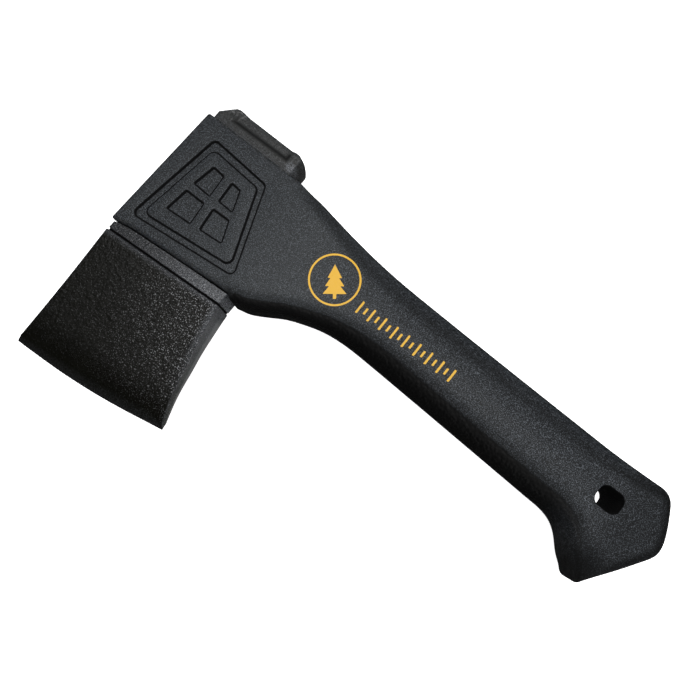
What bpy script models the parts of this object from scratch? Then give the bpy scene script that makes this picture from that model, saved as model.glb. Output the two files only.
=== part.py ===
"""Hatchet: a coated steel head moulded into a composite handle, lying flat on its side.

The handle runs along X with the head at -X, the cutting edge faces -Y and the poll +Y.
The plane halfway through the thickness is level, and the lower side rests on z = 0.
"""

import math

import bmesh
import bpy
from mathutils import Matrix, Vector

MM = 0.001

# Driving dimensions, in millimetres. CENTRE moves the drawing so that the footprint is centred.
CENTRE = Vector((1.6, 0.2, 0.0))
THICKNESS = 24.0
MIDDLE = THICKNESS / 2
GAP = 0.3
SEAM = 0.45

EDGE_HALF = 0.12
BEVEL_HALF = 2.7
CHEEK_HALF = 10.0
CHEEK_ROWS = 5
LAND_HALF = 9.7
LAND_STEP = (0.3, -0.3)
GROOVE_HALF = 9.0
GROOVE_WIDTH = 0.7
WAIST_HALF = 6.5
WAIST_X = (-108.0, -74.2)
WAIST_LEVELS = (16.0, 34.0)
KEY_HOLE = (-90.5, 25.5, 6.0)
HEAD_COLUMNS = 8
FACE_CORNER = 0.9
LAND_CORNER = 0.6
WAIST_CORNER = 1.5
POLL_CORNER = 0.8

# How far the side towards the grip swells at the middle plane, and the power of its curve.
PLAIN = (0.0, 1)
RIDGE = (0.35, 1)
BULGE = (1.3, 3)

POLL_HALF = 9.6
POLL_SIDE = 50.0
POLL_BACK = 58.9
POLL_X = (-110.3, -73.9)
# Rows of the poll: distance from its back, and what comes off the top end, grip end and half thickness.
POLL_ROWS = ((5.5, 0.0, 0.0, 0.0), (1.4, 3.9, 0.0, 0.0), (0.5, 4.7, 0.7, 0.3), (0.0, 5.4, 1.7, 0.9))
POLL_RECESS_DEPTH = 1.3
POLL_RECESS_ROUND = 0.6
POLL_RECESS = ((-105.8, 53.3), (-78.1, 54.0), (-77.7, 64.0), (-104.0, 64.0), (-104.0, 57.4), (-106.4, 55.0))

RECESS_DEPTH = 0.8
FRAME_OUTER = ((-103.0, 43.4), (-77.2, 41.6), (-64.5, 7.9), (-108.5, 2.8))
FRAME_INNER = ((-100.6, 39.9), (-79.0, 38.6), (-68.1, 10.4), (-105.2, 6.0))
FRAME_ROUND = 2.2
WINDOWS = (
    ((-96.5, 35.0), (-91.2, 34.6), (-90.4, 25.3), (-98.2, 25.6)),
    ((-87.5, 34.5), (-83.2, 34.2), (-80.0, 25.8), (-86.8, 26.0)),
    ((-98.6, 22.1), (-90.2, 22.2), (-89.2, 13.1), (-99.8, 12.2)),
    ((-86.5, 22.7), (-79.1, 23.0), (-75.6, 14.5), (-85.4, 13.6)),
)
WINDOW_ROUND = 0.7

LANYARD = (86.35, 28.9)
LANYARD_SIZE = (9.8, 8.0)
LANYARD_ROUND = 3.0

PLUG_AT = (107.5, 36.6)
PLUG_OUT = Vector((0.894, 0.447, 0.0))
PLUG_HEAD = (3.5, 1.5)
PLUG_SHANK = (2.3, 7.0)

# The hollow of the grip: x, y, half the width across the grip, and half the height.
HOLLOW = (
    (-48, 31.0, 4.0, 3.0), (-41, 31.0, 9.0, 5.6), (-26, 31.2, 11.2, 7.2), (20, 30.6, 11.6, 7.4),
    (56, 30.2, 11.0, 7.2), (67, 32.5, 6.0, 5.0), (76, 38.0, 2.2, 2.2), (96, 38.0, 2.2, 2.2),
    (99, 37.0, 2.2, 2.2), (104, 36.0, 1.7, 1.7),
)
HOLLOW_SIDES = 16

# Lines across the head, from the cutting edge to the collar, and the lines of its two sides.
EDGE_LINE = ((-114.3, -59.3), (-108.7, -59.05), (-91.8, -57.8), (-73.4, -55.3), (-51.4, -50.9))
BEVEL_LINE = (
    (-114.1, -56.4), (-99.0, -54.4), (-80.3, -51.7), (-63.6, -48.7), (-58.0, -47.8), (-52.6, -48.6),
)
GROOVE_LINE = ((-112.7, -6.3), (-63.4, -3.0))
UNDERSIDE = (
    (-51.0, -51.3), (-47.8, -52.5), (-41.9, -54.7), (-36.8, -56.2), (-29.0, -57.9), (-21.0, -59.7),
    (-11.0, -61.4), (-4.2, -62.4), (4.0, -63.1),
)
TOP_SIDE = ((-60.0, -114.3), (-54.5, -113.8), (-30.2, -113.0), (-8.4, -112.8))

# The handle's outline at the middle plane, anticlockwise from the collar's front corner.
COLLAR_LINE = ((-113.2, -2.8), (-106.0, -1.3), (-97.0, -0.4), (-78.0, 1.2), (-62.6, 2.3))
BELLY = COLLAR_LINE + (
    (-62.1, 1.3), (-60.4, 0.9), (-58.1, 1.3), (-54.8, 2.2), (-49.4, 5.2), (-43.0, 9.0), (-36.1, 11.7),
    (-28.9, 13.8), (-21.5, 14.8), (-12.0, 15.0), (66.0, 12.8), (73.0, 12.6), (78.2, 11.4), (82.6, 8.8),
    (87.8, 4.2), (91.6, 1.5),
)
SPINE = (
    (-111.6, 50.0), (-72.2, 50.0), (-71.4, 50.3), (-65.5, 50.5), (-59.3, 50.3), (-52.2, 49.4),
    (-45.1, 48.5), (-38.0, 47.8), (-30.8, 47.1), (-16.4, 46.1), (5.2, 45.6), (34.0, 45.2), (62.8, 44.9),
    (84.3, 44.5), (98.3, 44.6),
)
BUTT = (
    (93.0, 0.1), (94.3, -0.8), (95.3, -0.5), (96.4, 1.2), (99.3, 5.6), (103.3, 11.5), (107.3, 17.5),
    (110.1, 21.9), (111.0, 24.1), (111.1, 26.4), (110.6, 29.2), (108.9, 33.8), (106.1, 39.4),
    (104.2, 42.4), (101.6, 44.2),
)
END_ROUND = (0.9, 1.0)

# Where the stations along the handle start, and how many there are up to the next start.
STATIONS = (
    (-113.2, 8), (-72.2, 1), (-71.4, 3), (-62.6, 1), (-62.1, 1), (-61.0, 17), (-10.0, 10), (66.0, 10),
    (91.6, 1),
)
LEVELS = 4


def clear_scene():
    for thing in list(bpy.data.objects):
        bpy.data.objects.remove(thing, do_unlink=True)


def plain_material(name, colour, roughness, metallic):
    made = bpy.data.materials.new(name)
    made.use_nodes = True
    shader = made.node_tree.nodes["Principled BSDF"]
    shader.inputs["Base Color"].default_value = (*colour, 1.0)
    shader.inputs["Roughness"].default_value = roughness
    shader.inputs["Metallic"].default_value = metallic
    return made


def new_object(name, mesh_data, material=None):
    made = bpy.data.objects.new(name, mesh_data)
    bpy.context.scene.collection.objects.link(made)
    if material:
        mesh_data.materials.append(material)
    return made


def mesh_from(name, points, faces):
    """A mesh from points in millimetres, with its faces turned outwards."""
    made = bpy.data.meshes.new(name)
    work = bmesh.new()
    verts = [work.verts.new((Vector(p) + CENTRE) * MM) for p in points]
    for face in faces:
        work.faces.new([verts[i] for i in face])
    bmesh.ops.recalc_face_normals(work, faces=work.faces)
    work.to_mesh(made)
    work.free()
    return made


def cutter(name, mesh_data):
    made = new_object(name, mesh_data)
    made.hide_render = True
    made.display_type = "WIRE"
    return made


def boolean(target, tool, operation="DIFFERENCE"):
    step = target.modifiers.new(tool.name, "BOOLEAN")
    step.operation = operation
    step.solver = "EXACT"
    step.object = tool


def along(knots, x):
    """The height at x of a smooth curve through knots, which are sorted by x."""
    last = len(knots) - 1
    i = 0
    while i < last - 1 and x > knots[i + 1][0]:
        i += 1
    a, b = knots[i], knots[i + 1]
    before = knots[i - 1] if i > 0 else a
    after = knots[i + 2] if i + 2 <= last else b
    step = b[0] - a[0]
    rise_a = (b[1] - before[1]) / (b[0] - before[0])
    rise_b = (after[1] - a[1]) / (after[0] - a[0])
    t = min(max((x - a[0]) / step, 0.0), 1.0)
    keep = 2 * t**3 - 3 * t**2 + 1
    return (
        keep * a[1]
        + (t**3 - 2 * t**2 + t) * step * rise_a
        + (1 - keep) * b[1]
        + (t**3 - t**2) * step * rise_b
    )


def ease(value, low, high):
    """0 below low, 1 above high, and smooth between."""
    t = min(max((value - low) / (high - low), 0.0), 1.0)
    return t * t * (3 - 2 * t)


def spread(start, end, count):
    return [start + (end - start) * i / count for i in range(count)]


def rounded(corners, radius, steps=4):
    """A polygon's outline with each corner replaced by an arc."""
    outline = []
    count = len(corners)
    for i in range(count):
        here = Vector(corners[i])
        back = (Vector(corners[i - 1]) - here).normalized()
        ahead = (Vector(corners[(i + 1) % count]) - here).normalized()
        half = back.angle(ahead) / 2
        reach = radius / math.tan(half)
        centre = here + (back + ahead).normalized() * (radius / math.sin(half))
        start = here + back * reach - centre
        turn = start.angle_signed(here + ahead * reach - centre)
        for k in range(steps + 1):
            outline.append(centre + start @ Matrix.Rotation(turn * k / steps, 2))
    return outline


def prism(name, outline, low, high):
    """A straight block on an outline in the XY plane."""
    count = len(outline)
    points = [(p[0], p[1], low) for p in outline] + [(p[0], p[1], high) for p in outline]
    faces = [list(range(count)), list(range(count, 2 * count))]
    faces += [(i, (i + 1) % count, count + (i + 1) % count, count + i) for i in range(count)]
    return mesh_from(name, points, faces)


def skin(name, rings):
    """A closed body through rings of equal length, with both ends filled."""
    size = len(rings[0])
    points = [p for ring in rings for p in ring]
    faces = [list(range(size)), list(range(len(points) - size, len(points)))]
    for r in range(len(rings) - 1):
        for i in range(size):
            j = (i + 1) % size
            a, b = r * size, (r + 1) * size
            faces.append((a + i, a + j, b + j, b + i))
    return mesh_from(name, points, faces)


def turned(name, profile, at, axis, sides=24):
    """A body of revolution from (distance, radius) pairs along an axis through a point."""
    toward = axis.normalized()
    across = toward.orthogonal().normalized()
    other = toward.cross(across)
    rings = []
    for distance, radius in profile:
        centre = Vector(at) + toward * distance
        angles = [2 * math.pi * k / sides for k in range(sides)]
        rings.append([centre + (across * math.cos(a) + other * math.sin(a)) * radius for a in angles])
    return skin(name, rings)


# The head: rows of points from the cutting edge back to the poll.

def head_row(line, x_range, half, corner, swell=PLAIN):
    """A closed row: over the near face, down the underside and back under the far face."""
    top, under = x_range
    arc = [(corner * (1 - math.cos(a)), corner * (1 - math.sin(a))) for a in (0, math.pi / 4, math.pi / 2)]
    near = [(top + side, half - drop) for side, drop in arc]
    near += [(x, half) for x in spread(top + corner, under - corner, HEAD_COLUMNS)[1:]]
    near += [(under - side, half - drop) for side, drop in reversed(arc)]
    depth, power = swell
    side = [(under + depth * (1 - abs(part) ** power), (half - corner) * part) for part in (0.6, 0.0, -0.6)]
    loop = near + side + [(x, -z) for x, z in reversed(near)]
    return [(x, along(line, x), MIDDLE + z) for x, z in loop]


def blend_line(first, second, part):
    """The line a part of the way from one line to another."""
    start, end = first[0][0], first[-1][0]
    xs = [start + (end - start) * k / 6 for k in range(7)]
    return [(x, (1 - part) * along(first, x) + part * along(second, x)) for x in xs]


def side_range(line):
    """Where a line meets the head's top side and its underside."""
    top = along(TOP_SIDE, along(line, line[0][0]))
    under = along(UNDERSIDE, along(line, line[-1][0]))
    return top, under


def shifted(line, distance):
    return [(x, y + distance) for x, y in line]


def level_line(y):
    return (WAIST_X[0], y), (WAIST_X[1], y)


def blade_rows():
    """Rows from the cutting edge to the shoulder that faces the collar."""
    rows = [
        head_row(EDGE_LINE, (EDGE_LINE[0][0], EDGE_LINE[-1][0]), EDGE_HALF, EDGE_HALF / 2),
        head_row(BEVEL_LINE, side_range(BEVEL_LINE), BEVEL_HALF, LAND_CORNER, RIDGE),
    ]
    cheek_end = shifted(GROOVE_LINE, -GROOVE_WIDTH)
    for k in range(1, CHEEK_ROWS + 1):
        part = k / CHEEK_ROWS
        line = blend_line(BEVEL_LINE, cheek_end, part)
        half = BEVEL_HALF + (CHEEK_HALF - BEVEL_HALF) * part
        rows.append(head_row(line, side_range(line), half, FACE_CORNER, RIDGE))
    top, under = side_range(cheek_end)
    inner = (top + LAND_STEP[0], under + LAND_STEP[1])
    for widths, half in ((-0.5, GROOVE_HALF), (0.5, GROOVE_HALF), (1.0, LAND_HALF)):
        rows.append(head_row(shifted(GROOVE_LINE, widths * GROOVE_WIDTH), inner, half, LAND_CORNER))
    rows.append(head_row(shifted(COLLAR_LINE, -SEAM), inner, LAND_HALF, LAND_CORNER))
    return rows


def waist_and_poll_rows():
    """Rows of the waist inside the collar, and of the poll behind it."""
    start, end = shifted(COLLAR_LINE, GAP / 2 - SEAM), level_line(POLL_SIDE + GAP / 2)
    lines = (start, *map(level_line, WAIST_LEVELS), end)
    rows = [head_row(line, WAIST_X, WAIST_HALF, WAIST_CORNER) for line in lines]
    rows.append(head_row(level_line(POLL_SIDE + GAP), POLL_X, POLL_HALF, POLL_CORNER, BULGE))
    for back, off_top, off_under, off_half in POLL_ROWS:
        x_range = (POLL_X[0] + off_top, POLL_X[1] - off_under)
        rows.append(head_row(level_line(POLL_BACK - back), x_range, POLL_HALF - off_half, POLL_CORNER, BULGE))
    return rows


def through_hole(name, radius):
    """A rod through the middle of the waist, longer than the hatchet is thick."""
    x, y, _ = KEY_HOLE
    return turned(name, ((-2, radius), (THICKNESS + 2, radius)), (x, y, 0), Vector((0, 0, 1)))


def make_head(material):
    head = new_object("axe_head", skin("axe_head", blade_rows() + waist_and_poll_rows()), material)
    boolean(head, cutter("key_hole", through_hole("key_hole", KEY_HOLE[2])))
    depth = MIDDLE - POLL_HALF + POLL_RECESS_DEPTH
    for side, low, high in (("near", THICKNESS - depth, THICKNESS), ("far", 0, depth)):
        recess = prism("poll_recess", rounded(POLL_RECESS, POLL_RECESS_ROUND), low, high)
        boolean(head, cutter("poll_recess_" + side, recess))
    return head


# The handle: a four-sided face on each side, and rounded walls between them.

def handle_half(x):
    """Half the thickness where the side face starts to round off."""
    return MIDDLE - 1.5 * ease(x, -62, -25) + 0.8 * ease(x, 55, 95)


def handle_crown(x):
    """How far the side face swells between its two long edges."""
    return 0.9 * ease(x, -62, 0) - 0.3 * ease(x, 60, 95)


def belly_round(x):
    """Inset and height of the rounding along the belly, and the angle that its arc turns through."""
    inset = 1.4 + 1.8 * ease(x, -64, -60) + 4.0 * ease(x, -48, -2) - 4.8 * ease(x, 77, 92)
    height = 1.8 + 5.9 * ease(x, -64, -58) + 2.3 * ease(x, -50, -5) - 4.5 * ease(x, 80, 94)
    return inset, height, math.pi / 2 - 0.45 * ease(x, -40, 0) * (1 - ease(x, 60, 90))


def spine_round(x):
    inset = 0.8 + 2.4 * ease(x, -72, -60) + 2.8 * ease(x, -60, -25) - 3.4 * ease(x, 75, 105)
    height = 1.0 + 7.0 * ease(x, -72, -60) + 1.6 * ease(x, -60, -25) - 4.0 * ease(x, 75, 105)
    return inset, height, math.pi / 2


def butt_round(x):
    toe = 1 - ease(x, 95, 103)
    return 2.2 + 0.8 * toe, 4.2 + 4.0 * toe, math.pi / 2


def wall_ring(point, inward, rounding, half, level, levels):
    """A point of the wall, from the middle plane at level 0 to the face at the last level."""
    inset, height, angle = rounding
    if level == 0:
        return (*point, 0.0)
    part = angle * (level - 1) / (levels - 1)
    shift = inset * (1 - math.cos(part)) / (1 - math.cos(angle))
    rise = half - height + height * math.sin(part) / math.sin(angle)
    return (point[0] + inward[0] * shift, point[1] + inward[1] * shift, rise)


def handle_stations():
    """Stations along the belly, and where each one's rib meets the spine."""
    belly = []
    for (start, count), (end, _) in zip(STATIONS, STATIONS[1:]):
        belly += spread(start, end, count)
    belly.append(STATIONS[-1][0])
    at_end, at_butt = SPINE[0][0] - belly[0], SPINE[-1][0] - belly[-1]
    spine = [x + at_end * (1 - ease(x, belly[0], -100.0)) + at_butt * ease(x, 55.0, belly[-1]) for x in belly]
    return belly, spine


def handle_outline():
    """Four lists of (point, inward direction, rounding, half): belly, butt, spine and top end."""
    belly_x, spine_x = handle_stations()
    belly = [((x, along(BELLY, x)), (0.0, 1.0), belly_round(x), handle_half(x)) for x in belly_x]
    spine = [((x, along(SPINE, x)), (0.0, -1.0), spine_round(x), handle_half(x)) for x in spine_x]
    butt = []
    for point in BUTT:
        inward = (Vector(LANYARD) - Vector(point)).normalized()
        butt.append((point, tuple(inward), butt_round(point[0]), handle_half(point[0])))
    end = []
    for k in range(len(BUTT)):
        point = Vector(belly[0][0]).lerp(Vector(spine[0][0]), (k + 1) / (len(BUTT) + 1))
        end.append((tuple(point), (1.0, 0.0), (*END_ROUND, math.pi / 2), MIDDLE))
    for chain, index, inward in (
        (belly, 0, (1.0, 1.0)), (belly, -1, (-0.5, 1.0)), (spine, 0, (1.0, -1.0)), (spine, -1, (-0.6, -1.0)),
    ):
        point, _, rounding, half = chain[index]
        chain[index] = (point, inward, rounding, half)
    return belly, butt, spine, end


def parts_of(loop, count):
    """A loop's belly, butt, spine and top end, the last two turned to run the way of the first two."""
    across = len(BUTT)
    belly, butt = loop[:count], loop[count:count + across]
    spine = loop[count + across:2 * count + across][::-1]
    end = loop[2 * count + across:][::-1]
    return belly, butt, spine, end


def handle_points():
    """Rings of one half of the handle from its middle plane, and the grid of its side face."""
    belly, butt, spine, end = handle_outline()
    loop = belly + butt + spine[::-1] + end[::-1]
    rings = [[wall_ring(*item, level, LEVELS) for item in loop] for level in range(LEVELS + 1)]
    low, right, high, left = parts_of([Vector(p) for p in rings[-1]], len(belly))
    sides = len(BUTT) + 1
    grid = []
    for i in range(1, len(belly) - 1):
        at_butt = ease(low[i].x, 55.0, belly[-1][0][0])
        at_end = 1 - ease(low[i].x, belly[0][0][0], -90.0)
        row = []
        for k in range(1, sides):
            part = k / sides
            point = low[i].lerp(high[i], part)
            point += at_butt * (right[k - 1] - low[-1].lerp(high[-1], part))
            point += at_end * (left[k - 1] - low[0].lerp(high[0], part))
            point.z += handle_crown(point.x) * 4 * part * (1 - part)
            row.append(point)
        grid.append(row)
    return rings, grid


def handle_body(name):
    rings, grid = handle_points()
    size = len(rings[0])
    points = []
    faces = []
    middle = []
    for sign in (1, -1):
        numbers = []
        for level, ring in enumerate(rings):
            if level == 0 and sign < 0:
                numbers.append(middle)
                continue
            numbers.append(list(range(len(points), len(points) + size)))
            points += [(x, y, MIDDLE + sign * z) for x, y, z in ring]
        middle = numbers[0]
        for low, high in zip(numbers, numbers[1:]):
            faces += [(low[i - 1], low[i], high[i], high[i - 1]) for i in range(size)]
        belly, butt, spine, end = parts_of(numbers[-1], len(grid) + 2)
        table = [[belly[0], *end, spine[0]]]
        for i, row in enumerate(grid):
            table.append([belly[i + 1], *range(len(points), len(points) + len(row)), spine[i + 1]])
            points += [(p.x, p.y, MIDDLE + sign * p.z) for p in row]
        table.append([belly[-1], *butt, spine[-1]])
        for a, b in zip(table, table[1:]):
            faces += [(a[k], a[k + 1], b[k + 1], b[k]) for k in range(len(a) - 1)]
    return mesh_from(name, points, faces)


def on_both_sides(target, name, outline, depth):
    """Cuts a flat-bottomed recess into both side faces."""
    for side, low, high in (("near", THICKNESS - depth, THICKNESS + 1), ("far", -1, depth)):
        boolean(target, cutter(name + "_" + side, prism(name, outline, low, high)))


def frame_ring(name, low, high):
    """The block of the frame channel: outer outline less inner outline."""
    outer = rounded(FRAME_OUTER, FRAME_ROUND)
    inner = rounded(FRAME_INNER, FRAME_ROUND)
    count = len(outer)
    points = [(p[0], p[1], z) for z in (low, high) for ring in (outer, inner) for p in ring]
    faces = []
    for i in range(count):
        j = (i + 1) % count
        for a, b in ((0, 1), (1, 3), (3, 2), (2, 0)):
            faces.append((a * count + i, a * count + j, b * count + j, b * count + i))
    return mesh_from(name, points, faces)


def waist_space():
    """The room that the head's waist takes inside the collar, with the post left standing."""
    side_x = (WAIST_X[0] - GAP, WAIST_X[1] + GAP)
    lines = (shifted(COLLAR_LINE, -6), level_line(POLL_SIDE + 6))
    rows = [head_row(line, side_x, WAIST_HALF + GAP, WAIST_CORNER) for line in lines]
    space = cutter("waist_space", skin("waist_space", rows))
    boolean(space, cutter("post", through_hole("post", KEY_HOLE[2] - GAP)))
    return space


def grip_hollow():
    """The hollow of the grip, which narrows to a channel beside the lanyard slot."""
    angles = [2 * math.pi * k / HOLLOW_SIDES for k in range(HOLLOW_SIDES)]
    rings = []
    for x, y, across, up in HOLLOW:
        rings.append([(x, y + across * math.cos(a), MIDDLE + up * math.sin(a)) for a in angles])
    return cutter("grip_hollow", skin("grip_hollow", rings))


def plug_profile(grow):
    """(distance, radius) pairs inwards from the butt's end face, grown by a clearance."""
    head_radius, head_length = PLUG_HEAD
    shank_radius, shank_length = PLUG_SHANK
    return (
        (-4 * (grow > 0), head_radius + grow), (head_length + grow, head_radius + grow),
        (head_length + grow + 0.001, shank_radius + grow), (shank_length + grow, shank_radius + grow),
    )


def make_handle(material):
    handle = new_object("handle", handle_body("handle"), material)
    boolean(handle, waist_space())
    for side, low, high in (("near", THICKNESS - RECESS_DEPTH, THICKNESS + 1), ("far", -1, RECESS_DEPTH)):
        boolean(handle, cutter("frame_" + side, frame_ring("frame", low, high)))
    for number, corners in enumerate(WINDOWS):
        on_both_sides(handle, "window_%d" % number, rounded(corners, WINDOW_ROUND, 2), RECESS_DEPTH)
    across, along_y = (size / 2 for size in LANYARD_SIZE)
    turns = ((-1, 1), (1, 1), (1, -1), (-1, -1))
    corners = [(LANYARD[0] + a * across, LANYARD[1] + b * along_y) for a, b in turns]
    slot = prism("lanyard_slot", rounded(corners, LANYARD_ROUND), -2, THICKNESS + 2)
    boolean(handle, cutter("lanyard_slot", slot))
    boolean(handle, grip_hollow())
    socket = turned("plug_socket", plug_profile(GAP), (*PLUG_AT, MIDDLE), -PLUG_OUT)
    boolean(handle, cutter("plug_socket", socket))
    return handle


def make_plug(material):
    profile = plug_profile(0)
    return new_object("butt_plug", turned("butt_plug", profile, (*PLUG_AT, MIDDLE), -PLUG_OUT), material)


def main():
    clear_scene()
    steel = plain_material("black_coated_steel", (0.02, 0.02, 0.02), 0.5, 0.6)
    composite = plain_material("charcoal_composite", (0.035, 0.037, 0.04), 0.55, 0.0)
    plug_plastic = plain_material("plug_plastic", (0.02, 0.02, 0.02), 0.5, 0.0)
    for made in (make_head(steel), make_handle(composite), make_plug(plug_plastic)):
        made.data.shade_smooth()
        made.data.set_sharp_from_angle(angle=math.radians(30))


main()
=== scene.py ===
"""The looks of the hatchet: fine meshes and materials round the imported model.

Shapes are worked out in millimetres, with z counted from the plane halfway through the thickness.
The head is at -X, the cutting edge faces -Y, and the side that carries the print faces +Z.
"""

import math
from collections import namedtuple

import bmesh
import bpy
import numpy as np
from mathutils import Matrix, Vector, noise
from mathutils.geometry import delaunay_2d_cdt


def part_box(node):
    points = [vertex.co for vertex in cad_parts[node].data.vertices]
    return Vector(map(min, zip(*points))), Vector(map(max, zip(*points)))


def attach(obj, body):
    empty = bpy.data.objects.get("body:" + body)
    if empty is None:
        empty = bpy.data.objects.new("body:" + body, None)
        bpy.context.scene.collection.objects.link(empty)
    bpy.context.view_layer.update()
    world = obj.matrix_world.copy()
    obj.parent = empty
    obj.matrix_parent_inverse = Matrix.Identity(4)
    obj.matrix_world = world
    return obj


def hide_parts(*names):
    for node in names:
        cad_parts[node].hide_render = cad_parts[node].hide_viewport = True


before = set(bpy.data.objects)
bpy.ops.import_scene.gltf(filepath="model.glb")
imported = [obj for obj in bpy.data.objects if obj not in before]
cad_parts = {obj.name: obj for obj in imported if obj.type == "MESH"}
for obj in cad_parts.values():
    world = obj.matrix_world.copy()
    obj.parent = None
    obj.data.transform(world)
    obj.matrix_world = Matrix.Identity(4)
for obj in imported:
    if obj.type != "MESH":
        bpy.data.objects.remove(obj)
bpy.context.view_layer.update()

MM = 0.001

HANDLE_LOW, HANDLE_HIGH = (Vector(corner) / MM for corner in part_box("handle"))
MIDDLE = (HANDLE_LOW.z + HANDLE_HIGH.z) / 2
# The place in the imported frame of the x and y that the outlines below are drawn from.
CENTRE = (1.6, 0.2)


# Camera, floor and light.

CAMERA_AT = (4.3, -11.9, 258.7)
CAMERA_AIM = (-0.0772, 0.1080, -0.9912)
CAMERA_RIGHT = (0.7801, 0.6256, 0.0074)
CAMERA_LENS = 34.6
SENSOR_WIDTH = 36.0
CLIP_START = 0.01

KEY_AT = (-30, 60, 740)
KEY_AIM_AT = (-30, 59, 0)
KEY_SIZE = (440, 360)
KEY_POWER = 5.7
SIDE_LIGHTS = (
    ("right_light", (640, -120, 240), 1.2),
    ("back_light", (60, 640, 240), 0.5),
    ("front_light", (340, -540, 240), 0.3),
    ("left_light", (-640, 80, 240), 0.15),
)
SIDE_SIZE = (400, 200)
WORLD_STRENGTH = 0.03
FLOOR_REACH = 1500
FLOOR_DROP = -0.2
FLOOR_GLOW = 0.9
BACKDROP_RISE = 1500
BACKDROP_ROUND = 500
BACKDROP_STEPS = 15
STAGE_AROUND = 96
MERGE_DISTANCE = 1e-7
WHITE = (1.0, 1.0, 1.0, 1.0)


def place(thing, at, aim, right=None):
    """Puts a camera or a light at a point in millimetres, looking along aim."""
    back = -Vector(aim).normalized()
    side = Vector(right) if right else Vector((0, 1, 0)).cross(back)
    side = (side - back * side.dot(back)).normalized()
    up = back.cross(side)
    turned = Matrix((side, up, back)).transposed().to_4x4()
    thing.matrix_world = Matrix.Translation(Vector(at) * MM) @ turned


def add_camera():
    data = bpy.data.cameras.new("camera")
    data.lens = CAMERA_LENS
    data.sensor_width = SENSOR_WIDTH
    data.clip_start = CLIP_START
    camera = bpy.data.objects.new("camera", data)
    bpy.context.scene.collection.objects.link(camera)
    place(camera, CAMERA_AT, CAMERA_AIM, CAMERA_RIGHT)
    bpy.context.scene.camera = camera


def add_light(name, at, aim_at, size, power):
    data = bpy.data.lights.new(name, "AREA")
    data.shape = "RECTANGLE"
    data.size, data.size_y = (length * MM for length in size)
    data.energy = power
    light = bpy.data.objects.new(name, data)
    bpy.context.scene.collection.objects.link(light)
    place(light, at, Vector(aim_at) - Vector(at))


def add_studio():
    world = bpy.data.worlds.new("studio")
    world.use_nodes = True
    background = world.node_tree.nodes["Background"]
    background.inputs["Color"].default_value = WHITE
    background.inputs["Strength"].default_value = WORLD_STRENGTH
    bpy.context.scene.world = world
    bpy.context.scene.view_settings.view_transform = "Standard"
    add_light("key_light", KEY_AT, KEY_AIM_AT, KEY_SIZE, KEY_POWER)
    for name, at, power in SIDE_LIGHTS:
        add_light(name, at, (0, 0, 0), SIDE_SIZE, power)
    pale = floor_material()
    add_stage("floor", [(0.0, FLOOR_DROP), (FLOOR_REACH, FLOOR_DROP)], pale)
    profile = []
    for step in range(BACKDROP_STEPS + 1):
        angle = math.radians(90 * step / BACKDROP_STEPS)
        radius = FLOOR_REACH + BACKDROP_ROUND * math.sin(angle)
        profile.append((radius, FLOOR_DROP + BACKDROP_ROUND * (1 - math.cos(angle))))
    profile.append((FLOOR_REACH + BACKDROP_ROUND, BACKDROP_RISE))
    backdrop = add_stage("backdrop", profile, pale)
    backdrop.visible_diffuse = False


def add_stage(name, profile, material):
    """A surface turned about the vertical axis from points of radius and height."""
    made = bmesh.new()
    for radius, height in profile:
        for step in range(STAGE_AROUND):
            angle = 2 * math.pi * step / STAGE_AROUND
            made.verts.new((radius * math.cos(angle) * MM, radius * math.sin(angle) * MM, height * MM))
    made.verts.ensure_lookup_table()
    for row in range(len(profile) - 1):
        for step in range(STAGE_AROUND):
            after = (step + 1) % STAGE_AROUND
            corners = ((row, step), (row + 1, step), (row + 1, after), (row, after))
            face = made.faces.new([made.verts[level * STAGE_AROUND + turn] for level, turn in corners])
            face.smooth = True
    if profile[0][0] == 0:
        bmesh.ops.remove_doubles(made, verts=made.verts, dist=MERGE_DISTANCE)
    mesh = bpy.data.meshes.new(name)
    made.to_mesh(mesh)
    made.free()
    mesh.materials.append(material)
    stage = bpy.data.objects.new(name, mesh)
    bpy.context.scene.collection.objects.link(stage)
    stage.visible_glossy = False
    return stage


# Materials.
# A colour is linear red, green, blue and 1. A noise is its scale per millimetre, detail and roughness.
# A band is where what is remapped starts and ends. A fade or a rough of four also has the values there.

FLOOR_COLOUR = (0.93, 0.93, 0.93, 1.0)
FLOOR_ROUGH = 0.9
FLOOR_SPECULAR = 0.2

COMPOSITE_COOL = (0.0020, 0.0029, 0.0038, 1)
COMPOSITE_WARM = (0.0038, 0.0049, 0.0062, 1)
# Painted sheen: the neck is coloured lighter where the broad highlight of the side face lies.
COMPOSITE_NECK_PAINTED_SHEEN = (0.0125, 0.0145, 0.0160, 1)
# Painted glints: sparse pale specks that stand in for light glinting off the grain.
COMPOSITE_PAINTED_GLINT = (0.088, 0.099, 0.113, 1)
# Worn on the collar's rounding, and a painted highlight on the belly's rim line.
COMPOSITE_WEAR_AND_HIGHLIGHT = (0.05, 0.05, 0.048, 1)
# Painted shade: the near-black laid where shade falls down recess walls, in the slot, at the toe, the butt
# and along the rim.
PAINTED_SHADE_COLOUR = (0.0008, 0.0008, 0.0008, 1)
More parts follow.
